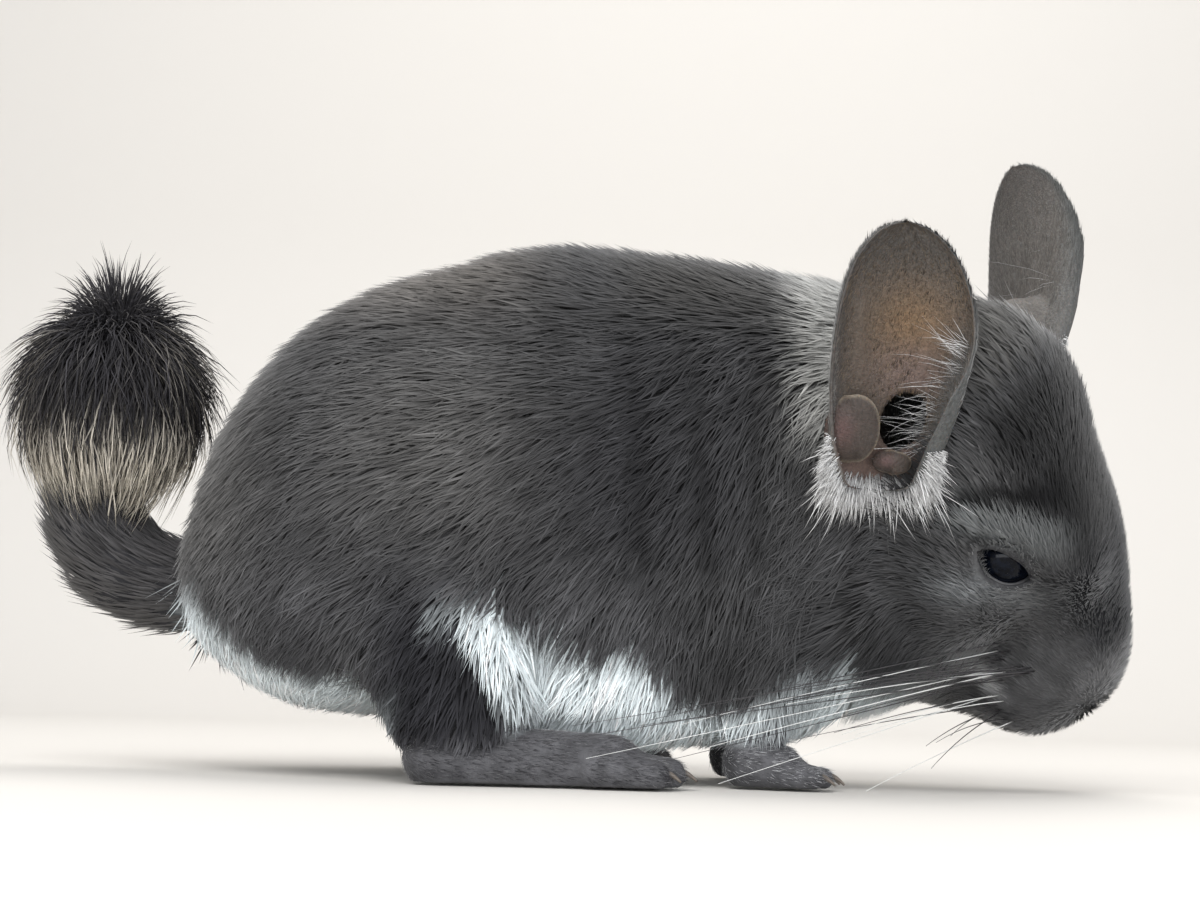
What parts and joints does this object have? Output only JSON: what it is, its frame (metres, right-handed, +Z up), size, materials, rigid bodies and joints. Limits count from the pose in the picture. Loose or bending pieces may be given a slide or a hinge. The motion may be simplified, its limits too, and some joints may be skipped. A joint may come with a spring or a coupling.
{
  "type": "chinchilla",
  "caption": "Life-size still model of a grey chinchilla crouched on all four feet, head lowered and tilted, tail curled up behind.",
  "frame": {"origin": "on the floor, under the middle of the whole animal's box", "axes": "+Z up, +X towards the nose, +Y towards the animal's left side"},
  "size_m": [0.2594, 0.1622, 0.1569],
  "materials": {
    "coat": "dense soft grey fur, brownish grey on the back, white on the belly",
    "face_fur": "short dense dark grey fur",
    "tail_fur": "long wiry dark grey hair with pale tips underneath",
    "foot": "very short fur over grey skin, bare grey pads and small blunt nails",
    "ear_leather": "thin skin with sparse fine hair",
    "eye": "wet glossy black",
    "whisker": "stiff tapered hairs, white and black"
  },
  "bodies": {
    "root": {"hindleg_right": "coat", "hindfoot_right": "foot", "foreleg_right": "coat", "forepaw_right": "foot", "hindleg_left": "coat", "hindfoot_left": "foot", "foreleg_left": "coat", "forepaw_left": "foot", "tail_base": "tail_fur", "tail_middle": "tail_fur", "tail_tip": "tail_fur", "trunk": "coat", "neck": "coat", "eye_right": "eye", "eye_left": "eye", "muzzle": "face_fur", "head": "face_fur", "ear_right": "ear_leather", "ear_left": "ear_leather", "whisker_right_1": "whisker", "whisker_right_2": "whisker", "whisker_right_3": "whisker", "whisker_right_4": "whisker", "whisker_right_5": "whisker", "whisker_left_1": "whisker", "whisker_left_2": "whisker", "whisker_left_3": "whisker", "whisker_left_4": "whisker", "whisker_left_5": "whisker"}
  },
  "joints": []
}
